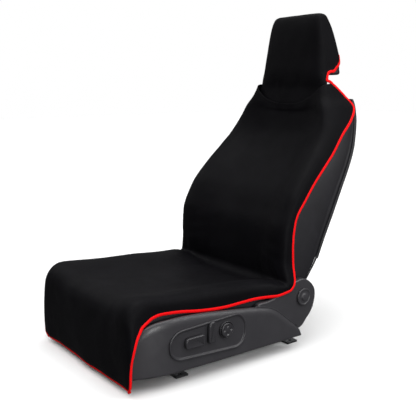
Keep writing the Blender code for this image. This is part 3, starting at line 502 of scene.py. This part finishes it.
def cover_grid():
    rows = spline(COVER, COVER_DETAIL * (len(COVER) - 1) + 1)
    across = spline(CROSS, CROSS_DETAIL)
    share = np.concatenate([-across[:0:-1, 0], across[:, 0]])
    hollow = np.concatenate([across[:0:-1, 1], across[:, 1]])
    fall = np.concatenate([across[:0:-1, 2], across[:, 2]])
    top, side, half = rows[:, None, 0:2], rows[:, None, 2:4], rows[:, None, 4]
    sink, way = rows[:, None, 5, None], unit(rows[:, None, 6:8])
    profile = top + (side - top) * fall[None, :, None] + way * sink * hollow[None, :, None]
    grid = np.concatenate([(half * share[None])[..., None], profile], axis=2)
    # the top edge hangs in a curve below the headrest
    rise = step(rows[:, None, 1], .690, .792)
    sag = 1 - np.clip(np.abs(grid[..., 0]) / half, 0, 1) ** 2.8
    grid[..., 2] -= NECK_SAG[0] * rise * sag
    grid[..., 1] -= NECK_SAG[1] * rise * sag
    return soften(grid)


def soften(grid):
    """Small pulls at the corners and an uneven stretch over the foam."""
    normal = grid_normals(grid)
    x, y, z = grid[..., 0], grid[..., 1], grid[..., 2]
    flat = step(np.abs(x), .262, .235)
    move = .0009 * lumps(grid, 9, 3) + .0004 * lumps(grid, 27, 4)
    # folds that fan out from the corner between seat and back
    bite = hump(y, .060, .050) * hump(z, .222, .050)
    move += .0022 * bite * np.sin(np.abs(x) * 118 + 6 * lumps(grid, 5, 5)) * step(np.abs(x), .02, .12)
    # sideways pulls low on the back and over the front roll
    waist = hump(z, .330, .060) * step(y, .02, .06)
    move += .0012 * waist * np.sin(z * 170 + np.abs(x) * 26) * step(np.abs(x), .06, .17)
    front = hump(y, -.430, .030) * hump(z, .185, .055)
    move += .0010 * front * np.sin(x * 62 + 3 * lumps(grid, 6, 6))
    # the free flap hangs in slow waves
    hang = step(z, .150, .030) * step(y, -.40, -.44)
    move += .0016 * hang * np.sin(x * 21 + .8) + .0007 * hang * np.sin(x * 47 + z * 30)
    # gathered below the headrest
    neck = hump(z, .742, .030) * step(y, .28, .31)
    move += .0016 * neck * np.sin(x * 88 + 5 * lumps(grid, 7, 8)) * step(np.abs(x), .19, .10)
    return grid + normal * (move * np.maximum(flat, .25))[..., None]


def smooth(path, times):
    for _ in range(times):
        path = np.concatenate([path[:1], (path[:-2] + 2 * path[1:-1] + path[2:]) / 4, path[-1:]])
    return path


def binding(name, path, facing, passes):
    """Red tape along an edge, eased by `passes` of smoothing."""
    both = even(np.concatenate([path, facing], axis=1), TAPE_STEP)
    return tape(name, smooth(both[:, :3], passes), smooth(both[:, 3:], 2 * passes), TAPE_WIDE, TAPE_THICK,
                RED_TAPE, slot="binding")


def make_cover():
    """Cushion, flap and backrest cover in one cloth; gives its outer face, for the hood's lead-in."""
    grid = cover_grid()
    cover = sheet_mesh("cover_main", grid, COVER_T, NEOPRENE, slot="neoprene")
    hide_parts("cover_flap", "cover_seat", "cover_back")
    normal = grid_normals(grid)
    mid = grid - normal * COVER_T / 2
    left, right = mid[::-1, -1], mid[:, 0]
    path = np.concatenate([left, mid[0, -2:0:-1], right])
    facing = np.concatenate([normal[::-1, -1], normal[0, -2:0:-1], normal[:, 0]])
    trim = binding("binding_main", path, facing, 2)
    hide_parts("binding_seat", "binding_back_left", "binding_back_right")
    for made in (cover, trim):
        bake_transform(made)
    return grid


MAIN = make_cover()


# ---------------------------------------------------------------- headrest hood
# height, front y, rear y, half width
HOOD = [(.700, .3265, .449, .182), (.730, .3230, .449, .177), (.755, .3262, .449, .170),
        (.784, .3300, .449, .1585), (.811, .3280, .449, .1500), (.838, .328, .450, .1400),
        (.883, .333, .446, .1345), (.932, .338, .432, .1265), (.972, .343, .420, .1185),
        (.994, .348, .410, .1130), (1.008, .354, .402, .1080), (1.0150, .360, .396, .1020),
        (1.0180, .367, .389, .094)]
# the hem's height by angle from the front, in degrees
HEM = [(0, .702), (20, .704), (40, .712), (55, .730), (65, .755), (74, .784), (80, .802), (84, .815),
       (89.3, .832), (92.8, .846), (100, .855), (111.5, .865), (120, .879), (130, .885), (180, .885)]
SQUARE = 0.34                # 1 gives an oval ring, 0 a rectangle
HOOD_T, HOOD_ROWS, HOOD_COLS = .0026, 64, 168
HOOD_MIDDLE = (.336, .443, .129)                 # front, rear and half width of a ring at middle height
HOOD_TOP = (0, .378, 1.0180)
BOUND_FROM = 79              # degrees from the front, where the hem comes out from under the cover


def ring_xy(angle, front, rear, half, shrink=0.0):
    c, s = np.cos(angle), np.sin(angle)
    y = (front + rear) / 2 - np.sign(c) * np.abs(c) ** SQUARE * ((rear - front) / 2 - shrink)
    return np.sign(s) * np.abs(s) ** SQUARE * (half - shrink), y


def even_angles(count):
    """Angles, from the rear round by the front, that give evenly spaced columns."""
    fine = np.linspace(-math.pi, math.pi, 6001)
    x, y = ring_xy(fine, *HOOD_MIDDLE)
    run = np.r_[0, np.cumsum(np.hypot(np.diff(x), np.diff(y)))]
    return np.interp(np.linspace(0, run[-1], count, endpoint=False), run, fine)


def hood_grid(angle):
    """Outer face of the hood, from its hem up to the closed top, with the crown's swell and soft folds."""
    low = follow(HEM, np.abs(np.degrees(angle)))[0]
    climb = np.linspace(0, 1, HOOD_ROWS)[:, None]
    z = low[None] + (HOOD[-1][0] - low[None]) * climb
    front, rear, half = (v.reshape(z.shape) for v in follow(HOOD, z.ravel()))
    x, y = ring_xy(angle[None], front, rear, half)
    grid = np.stack([x, y, z], -1)
    normal = grid_normals(grid, True)
    move = .0008 * lumps(grid, 11, 11)
    face = step(y, .36, .34)
    move += .0016 * face * np.exp(-((x / .085) ** 2 + ((z - .905) / .060) ** 2) * .5)
    creep = hump(z - low[None], .012, .012) * (1 - face)
    move += .0008 * creep * np.sin(np.degrees(angle)[None] * .55)
    slack = face * hump(z, .800, .020)
    move += .0007 * slack * np.sin(x * 95 + 4 * lumps(grid, 8, 12))
    grid = grid + normal * move[..., None]
    middle = np.array(HOOD_TOP)
    caps = [middle + (grid[-1] - middle) * k + np.array([0, 0, .0012 * (1 - k * k)])
            for k in (.86, .66, .42, .2, .002)]
    return np.concatenate([grid, np.array(caps)])


def make_hood():
    angle = even_angles(HOOD_COLS)
    grid = hood_grid(angle)
    hood = sheet_mesh("cover_headrest", grid, HOOD_T, NEOPRENE, wrap=True, slot="neoprene")
    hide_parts("cover_hood")
    normal = grid_normals(grid, True)
    hem = grid[0] - normal[0] * HOOD_T / 2
    bound = [j for j in range(len(angle)) if abs(math.degrees(angle[j])) > BOUND_FROM]
    # the left side from the front to the rear, then the right side back to the front
    run = [j for j in bound if angle[j] > 0] + [j for j in bound if angle[j] <= 0]
    path = hem[run]
    facing = unit(normal[0][run] * np.array([1, 1, .2]))
    corner = MAIN[-1, -1]
    lead = np.array([corner + (0, .0005, -.001), corner + (-.003, -.006, .005)])
    mirror = np.array([-1, 1, 1])
    path = np.concatenate([lead, path, (lead * mirror)[::-1]])
    side = np.array([[.96, -.25, .1]] * 2)
    facing = np.concatenate([side, facing, side * mirror])
    trim = binding("binding_headrest", path, facing, 4)
    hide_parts("binding_hood")
    for made in (hood, trim):
        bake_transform(made)


make_hood()


# ---------------------------------------------------------------- foam and upholstery under the cover
# y, top, bottom and half width of the cushion
CUSHION = [(.066, .196, .142, .244), (.040, .211, .140, .250), (-.035, .220, .1345, .254),
           (-.140, .228, .1345, .254), (-.240, .232, .1345, .254), (-.335, .238, .1345, .252),
           (-.385, .2425, .1345, .250), (-.412, .236, .1345, .247), (-.427, .222, .140, .244),
           (-.435, .206, .150, .240)]
# backrest: bolster front (y, z), cover edge (y, z), rear corner (y, z), half width front and rear, hollow's y
BACK = [
    (.082, .220, .120, .208, .203, .197, .258, .240, .156),
    (.074, .234, .121, .228, .218, .222, .263, .243, .160),
    (.072, .275, .115, .270, .243, .262, .266, .246, .178),
    (.073, .322, .109, .322, .268, .325, .268, .249, .192),
    (.079, .378, .113, .370, .300, .385, .268, .247, .212),
    (.098, .424, .127, .412, .325, .430, .266, .244, .236),
    (.123, .470, .160, .452, .350, .476, .262, .241, .260),
    (.159, .514, .201, .497, .375, .516, .257, .236, .284),
    (.195, .552, .243, .536, .398, .556, .251, .231, .306),
    (.237, .595, .292, .580, .420, .600, .243, .223, .326),
    (.278, .643, .345, .637, .439, .652, .233, .211, .342),
    (.304, .690, .402, .684, .452, .688, .217, .199, .346),
    (.318, .728, .432, .722, .462, .726, .198, .182, .349)]
# height of a ring at the headrest's foot, and how far it is drawn in
HEAD_FOOT = [(.8235, .016), (.8240, .008), (.8262, .0035), (.8300, .0012), (.836, .0003)]
PIPING = .0056


def subdivided(ring, parts=4):
    """Ring of points with each side split, and its corners eased."""
    ring = np.asarray(ring, float)
    after = np.roll(ring, -1, 0)
    fine = np.concatenate([ring + (after - ring) * k / parts for k in range(parts)], axis=1).reshape(-1, 3)
    for _ in range(5):
        fine = (np.roll(fine, 1, 0) + 2 * fine + np.roll(fine, -1, 0)) / 4
    return fine


def mirrored(half_ring):
    return half_ring + [(-x, y, z) for x, y, z in reversed(half_ring) if abs(x) > 1e-6]


def cushion_foam():
    rings = []
    for y, top, bottom, half in spline(CUSHION, 64):
        soft = min(.024, (top - bottom) * .35)
        dip = .021 if y > -.42 else .011
        groove = .004 * math.exp(-((y + .150) / .005) ** 2)             # sewn across the cushion
        rings.append(subdivided(mirrored([
            (0, y, top - dip - groove), (.26 * half, y, top - dip - groove), (.50 * half, y, top - .80 * dip),
            (.80 * half, y, top - .04 * dip), (.94 * half, y, top - .2 * soft), (half, y, top - soft),
            (half + .001, y, (top + bottom) / 2), (half, y, bottom + .010), (half - .010, y, bottom),
            (.5 * half, y, bottom), (0, y, bottom)])))
    made = skin("cushion_foam", rings, VINYL, body="seat_base", slot="vinyl")
    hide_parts("cushion_pad")


def backrest_foam():
    rings, pipes = [], []
    for fy, fz, sy, sz, ry, rz, half, rear_half, pocket in spline(BACK, 90):
        dip = .031 * min(1.0, max(0.25, (.760 - fz) / .150))
        half, rear_half = half - .0055, rear_half - .003
        fy, ry = fy + .006 + .016 * float(step(fz, .655, .728)), ry - .006
        pz = fz * .35 + rz * .65
        far, near = np.array([rear_half + .003, ry - .014, rz]), np.array([half - .001, sy + .008, sz])
        side = [near + (far - near) * k + (.0042 * math.sin(math.pi * k) - dent, 0, 0)
                for k, dent in ((.14, 0), (.40, 0), (.66, 0), (.83, .0005), (.88, .0030), (.93, 0))]
        line = [(0, fy + dip, fz - .34 * dip), (.26 * half, fy + dip, fz - .34 * dip),
                (.50 * half, fy + .8 * dip, fz - .27 * dip), (.80 * half, fy + .002, fz),
                (.95 * half, fy + .2 * (sy - fy), fz), (half, fy + .65 * (sy - fy), (fz + sz) / 2),
                tuple(near)]
        line += [tuple(p) for p in side]
        line += [tuple(far), (rear_half - .010, ry, rz), (rear_half - .030, ry, rz),
                 (rear_half - .031, pocket, pz), (0, pocket, pz)]
        rings.append(subdivided(mirrored(line), 3))
        pipes.append((*(far + (-.0005, .0045, 0)), .6, .8, 0))
    made = skin("backrest_foam", rings, VINYL, body="backrest", slot="vinyl")
    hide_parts("backrest_pad")
    line = even(pipes, .006)
    for tag, turn in (("left", 1), ("right", -1)):
        flip = np.array([turn, 1, 1])
        tape("back_piping_" + tag, line[:, :3] * flip, line[:, 3:] * flip, PIPING, PIPING, VINYL,
             body="backrest", slot="vinyl")


def headrest_foam():
    """Pad inside the hood; below the hem it stands out to the trim's own face, with a seam."""
    angle = even_angles(120)
    points = []
    for z, ease in HEAD_FOOT + [(z, 0) for z in np.linspace(.842, 1.0132, 44)]:
        front, rear, half = (float(v[0]) for v in follow(HOOD[4:], np.array([z + (.004 if z > .9 else 0)])))
        bare = step(np.degrees(np.abs(angle)), 84, 110) * step(z, .880, .868)
        dent = .0022 * bare * math.exp(-((z - .840) / .0022) ** 2)
        x, y = ring_xy(angle, front, rear, half, .0052 + ease)
        ring = np.stack([x, y, np.full_like(x, z)], 1)
        out = unit(np.stack([x / half ** 2, (y - (front + rear) / 2) / ((rear - front) / 2) ** 2, 0 * x], 1))
        points.append(ring + out * (.0026 * bare - dent)[:, None])
    made = skin("headrest_foam", points, VINYL, body="headrest", slot="vinyl")
    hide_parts("headrest_pad")


cushion_foam()
backrest_foam()
headrest_foam()


# ---------------------------------------------------------------- mouldings and switches
VALANCE_LOW = [(-.449, .058), (-.446, .050), (-.440, .046), (-.420, .0445), (-.400, .0440), (-.300, .042),
               (-.100, .041), (.137, .042)]
VALANCE_HIGH = [(-.449, .098), (-.444, .125), (-.430, .156), (-.405, .178), (-.370, .190), (-.310, .193),
                (-.235, .189), (-.145, .179), (-.078, .171), (-.030, .164), (.012, .154), (.040, .140),
                (.062, .123), (.086, .103), (.112, .082), (.132, .062), (.137, .048)]
RECLINER_COVER = [(-.029, .168), (.011, .174), (.053, .184), (.089, .203), (.116, .214), (.149, .2175),
                  (.177, .202), (.195, .178), (.196, .148), (.185, .116), (.163, .091), (.131, .067),
                  (.060, .080), (-.010, .120)]
BAR_KEY = [(-.031, -.014), (.030, -.016), (.032, .010), (.027, .017), (-.028, .016), (-.033, .004)]
LEVER_KEY = [(-.012, -.014), (.010, -.014), (.0125, -.004), (.0125, .036), (.009, .0465), (-.005, .0465),
             (-.011, .036), (-.0125, .004)]
FACE_X, SIDE_WALL = .2805, .0025                 # the moulding's outer face, and its thickness
CUSHION_SWITCH, RECLINE_SWITCH, LUMBAR_SWITCH = (-.263, .119), (-.2075, .118), (-.155, .129)
CAP_AT = (.147, .163)
PANEL_X, PANEL_AT, PANEL_HALF, PANEL_CORNER = .2860, (-.212, .117), (.130, .047), .042
KEY_X = .2945                                    # how far out the keys stand
DIMPLES_R, DIMPLE_DEPTH, DIMPLE_SPREAD = .0118, .0020, .0032


def loop_inset(loop, amount):
    """Closed outline of (y, z) moved inwards."""
    loop = np.asarray(loop, float)
    along = unit(np.roll(loop, -1, 0) - np.roll(loop, 1, 0))
    area = np.sum(loop[:, 0] * np.roll(loop[:, 1], -1) - np.roll(loop[:, 0], -1) * loop[:, 1])
    return loop + np.stack([-along[:, 1], along[:, 0]], 1) * (amount * np.sign(area))


def rounded(outline, radius, steps=5):
    """Outline with its corners cut to arcs, then evenly resampled."""
    outline = np.asarray(outline, float)
    out = []
    for before, here, after in zip(np.roll(outline, 1, 0), outline, np.roll(outline, -1, 0)):
        reach = [min(radius, np.linalg.norm(other - here) * .48) for other in (before, after)]
        start = here + unit(before - here) * reach[0]
        end = here + unit(after - here) * reach[1]
        for t in np.linspace(0, 1, steps):
            out.append(start * (1 - t) ** 2 + here * 2 * t * (1 - t) + end * t * t)
    closed = even(np.array(out + out[:1]), .0012)
    return closed[:-1]


def stack(loops, side=1.0):
    """Rings of points from pairs of a (y, z) outline and its x."""
    return np.array([np.stack([np.full(len(loop), side * x), loop[:, 0], loop[:, 1]], 1)
                     for loop, x in loops])


def edge_round(loop, face, radius, steps=5):
    """Layers that turn a side wall over into a face with a rounded edge."""
    out = []
    for a in np.linspace(0, math.pi / 2, steps):
        out.append((loop_inset(loop, radius * (1 - math.cos(a))), face - radius * (1 - math.sin(a))))
    return out


def nose(y):
    """How far the moulding's front bends in towards the middle."""
    return .030 * max(0.0, (-.325 - y) / .125) ** 2


def valance(tag, side):
    at = np.unique(np.concatenate([np.linspace(-.449, -.38, 40), np.linspace(-.38, .137, 90),
                                   [-.0405, -.0400]]))
    low, high = follow(VALANCE_LOW, at)[0], follow(VALANCE_HIGH, at)[0]
    grid = []
    for y, bottom, top in zip(at, low, high):
        tall = top - bottom
        rim = .2757 if y > -.0404 else .2685                      # it clears the recliner cover
        edge, roll = min(.0050, tall * .3), min(.022, tall * .4)
        turn = np.linspace(0, math.pi / 2, 9)
        line = [(0, rim)] + [(edge * (1 - math.cos(a)), FACE_X - .0034 * (1 - math.sin(a))) for a in turn]
        line += [(edge + (tall - edge - roll) * k, FACE_X) for k in (.02, .25, .5, .75, .98)]
        line += [(tall - roll * (1 - math.cos(a)), FACE_X - roll * .38 * (1 - math.sin(a)))
                 for a in turn[::-1]]
        line += [(tall, rim)]
        grid.append([(side * (x - nose(y)), y, bottom + z) for z, x in line])
    grid = np.array(grid)
    made = sheet_mesh("moulding_" + tag, grid if side < 0 else grid[:, ::-1], SIDE_WALL, GREY_PLASTIC,
                      body="seat_base", slot="plastic")
    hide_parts("valance_" + tag)


def recliner(tag, side):
    loop = loop_inset(spline(RECLINER_COVER, 220, closed=True), -.0015)
    inner = loop_inset(loop, SIDE_WALL)
    face = .2755
    layers = [(loop_inset(inner, .006), face - SIDE_WALL), (inner, face - .0040), (inner, .2500),
              (loop, .2500)]
    layers += edge_round(loop, face, .0042) + [(loop_inset(loop, .0050), face)]
    made = skin("recliner_shell_" + tag, stack(layers, side), GREY_PLASTIC, body="seat_base", slot="plastic")
    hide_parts("recliner_cover_" + tag)
    profile = [(.0002, .0268), (.0048, .0268), (.0060, .0264), (.0068, .0255), (.0070, .0240), (.0070, .0222),
               (.0066, .0212), (.0057, .0206), (.0055, .0195), (.0055, .0125), (.0060, .0115), (.0080, .0110),
               (.0090, .0103), (.0094, .0090), (.0094, .0006)]
    turn = np.linspace(0, 2 * math.pi, 72, endpoint=False)
    rings = [[(side * (face + x), CAP_AT[0] + r * math.cos(a), CAP_AT[1] + r * math.sin(a)) for a in turn]
             for x, r in profile]
    cap = skin("recliner_boss_" + tag, rings, GREY_PLASTIC, body="seat_base", slot="plastic")
    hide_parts("recliner_cap_" + tag)


def panel_outline():
    """Long rounded outline, a little taller towards the rear."""
    centre, (half_y, half_z), corner = PANEL_AT, PANEL_HALF, PANEL_CORNER
    out = []
    for turn, (sy, sz) in enumerate(((1, 1), (-1, 1), (-1, -1), (1, -1))):
        for a in math.pi / 2 * (turn + np.linspace(0, 1, 24)):
            out.append((centre[0] + sy * (half_y - corner) + corner * math.cos(a),
                        centre[1] + sz * (half_z - corner) + corner * math.sin(a)))
    loop = np.array(out)
    loop[:, 1] += (loop[:, 0] - centre[0]) * .045 * (loop[:, 1] - centre[1]) / half_z
    return loop


def control_panel():
    loop = panel_outline()
    layers = [(loop, FACE_X + .0004)] + edge_round(loop, PANEL_X, .0022)
    layers += [(loop_inset(loop, inset), x)
               for inset, x in ((.0042, PANEL_X), (.0052, .2856), (.0062, .2846), (.0072, .2830),
                                (.0084, .2823), (.0100, .2822))]
    made = skin("control_panel", stack(layers), PANEL_PLASTIC, body="seat_base", slot="panel")
    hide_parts("switch_panel")


def key(name, node, body, outline, spot, low, high, radius, corner):
    loop = rounded(np.array(outline) + np.array(spot), corner)
    layers = [(loop_inset(loop, .0016), low), (loop, low + .0012)] + edge_round(loop, high, radius)
    layers += [(loop_inset(loop, radius + .0015), high), (loop_inset(loop, radius + .0030), high - .0004)]
    made = skin(name, stack(layers), SWITCH_PLASTIC, body=body, slot="switch")
    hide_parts(node)


def lumbar_key():
    """Round key with a rounded rim and four dimples, in a raised collar."""
    turn = np.linspace(0, 2 * math.pi, 96, endpoint=False)
    radii = np.array([.0186, .0198, .0200, .0200, .0196, .0186, .0175, .0162, .0150, .0138,
                      .0125, .0112, .0100, .0085, .0070, .0055, .0040, .0025, .0012, .0003])
    height = np.array([.2859, .2862, .2870, .2895, .2908, .2916, .2919, .2918, .2916, .2914,
                       .2913, .2912, .2912, .2913, .2914, .2916, .2917, .2918, .2918, .2918])
    y, z = np.outer(radii, np.cos(turn)), np.outer(radii, np.sin(turn))
    x = np.repeat(height[:, None], len(turn), 1)
    for a in (0, math.pi / 2, math.pi, 3 * math.pi / 2):
        gap = np.hypot(y - DIMPLES_R * math.cos(a), z - DIMPLES_R * math.sin(a))
        x -= np.where(radii[:, None] < .0187, DIMPLE_DEPTH * hump(gap, 0, DIMPLE_SPREAD), 0) * (x > .289)
    rings = np.stack([x, y + LUMBAR_SWITCH[0], z + LUMBAR_SWITCH[1]], -1)
    made = skin("lumbar_button", rings, SWITCH_PLASTIC, body="lumbar_pad", slot="switch")
    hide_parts("lumbar_switch_key")
    collar = [(.2830, .0240), (.2872, .0240), (.2882, .0236), (.2885, .0229), (.2882, .0222), (.2872, .0218),
              (.2834, .0218), (.2834, .0110), (.2830, .0110)]
    rings = np.array([[(x, LUMBAR_SWITCH[0] + r * math.cos(a), LUMBAR_SWITCH[1] + r * math.sin(a))
                       for a in turn] for x, r in collar + collar[:1]])
    ring = new_mesh("lumbar_collar", rings, quads(len(rings), len(turn), 0, True), SWITCH_PLASTIC,
                    metric(rings), body="lumbar_ring", slot="switch")
    tidy_normals(ring)
    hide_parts("lumbar_switch_ring")


def recline_key():
    """Upright key on a narrow stem that passes over the panel's lip."""
    loop = rounded(np.array(LEVER_KEY) + np.array(RECLINE_SWITCH), .006)
    stem = loop_inset(loop, .0085)
    layers = [(stem, .2833), (stem, .2863), (loop, .2864), (loop, .2880)]
    layers += edge_round(loop, KEY_X, .0034, 7)
    layers += [(loop_inset(loop, .0050), .2944), (loop_inset(loop, .0065), .2940)]
    made = skin("recline_button", stack(layers), SWITCH_PLASTIC, body="recline_lever", slot="switch")
    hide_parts("recline_switch_key")


def rear_shell():
    """Moulded back of the backrest: edges turned forward and a shallow sunk field."""
    table = [(r[4], r[5], r[7]) for r in BACK[2:]] + [(.467, .746, .168)]
    rows = spline(table, 80)
    share = np.concatenate([np.linspace(0, .93, 26), [.95, .965, .98, .99, .997, 1.0, 1.0]])
    lift = np.concatenate([np.zeros(26), [.0006, .0013, .0028, .0045, .0072, .0105, .0135]])
    share, lift = np.concatenate([-share[:0:-1], share]), np.concatenate([lift[:0:-1], lift])
    grid = np.empty((len(rows), len(share), 3))
    grid[..., 0] = rows[:, 2:3] * share
    grid[..., 1] = rows[:, 0:1] + .001 - lift
    grid[..., 2] = rows[:, 1:2]
    u, v = np.abs(share)[None, :], np.linspace(0, 1, len(rows))[:, None]
    sunk = step(u, .80, .765) * step(v, .10, .125) * step(v, .90, .875)
    seam = hump(v, .52, .006) * step(u, .90, .86)
    grid[..., 1] -= .0022 * sunk + .0010 * seam * sunk
    made = sheet_mesh("rear_shell", grid[:, ::-1], SIDE_WALL, BACK_PLASTIC, body="backrest", slot="plastic")
    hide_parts("back_panel")


for tag, side in (("left", 1.0), ("right", -1.0)):
    valance(tag, side)
    recliner(tag, side)
control_panel()
lumbar_key()
recline_key()
key("cushion_button", "cushion_switch_key", "cushion_rocker", BAR_KEY, CUSHION_SWITCH,
    .2850, KEY_X, .0030, .007)
rear_shell()


# ---------------------------------------------------------------- finish of the CAD nodes that stay
BY_SLOT = {"steel": STEEL, "black_steel": BLACK_STEEL, "plastic": GREY_PLASTIC, "panel": PANEL_PLASTIC,
           "switch": SWITCH_PLASTIC, "foam": FOAM, "vinyl": VINYL, "neoprene": NEOPRENE, "binding": RED_TAPE}


def finish_nodes():
    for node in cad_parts.values():
        slot = node.data.materials[0].name.split(".")[0]
        node.data.materials.clear()
        node.data.materials.append(BY_SLOT[slot])


finish_nodes()


FLOOR_REACH = 14.0


def floor():
    reach = FLOOR_REACH
    made = new_mesh("floor", [(-reach, -reach, 0), (reach, -reach, 0), (reach, reach, 0), (-reach, reach, 0)],
                    [(0, 1, 2, 3)], pale_floor())
    made.visible_diffuse = False           # the studio floor throws no light back up
    made.visible_glossy = False


floor()
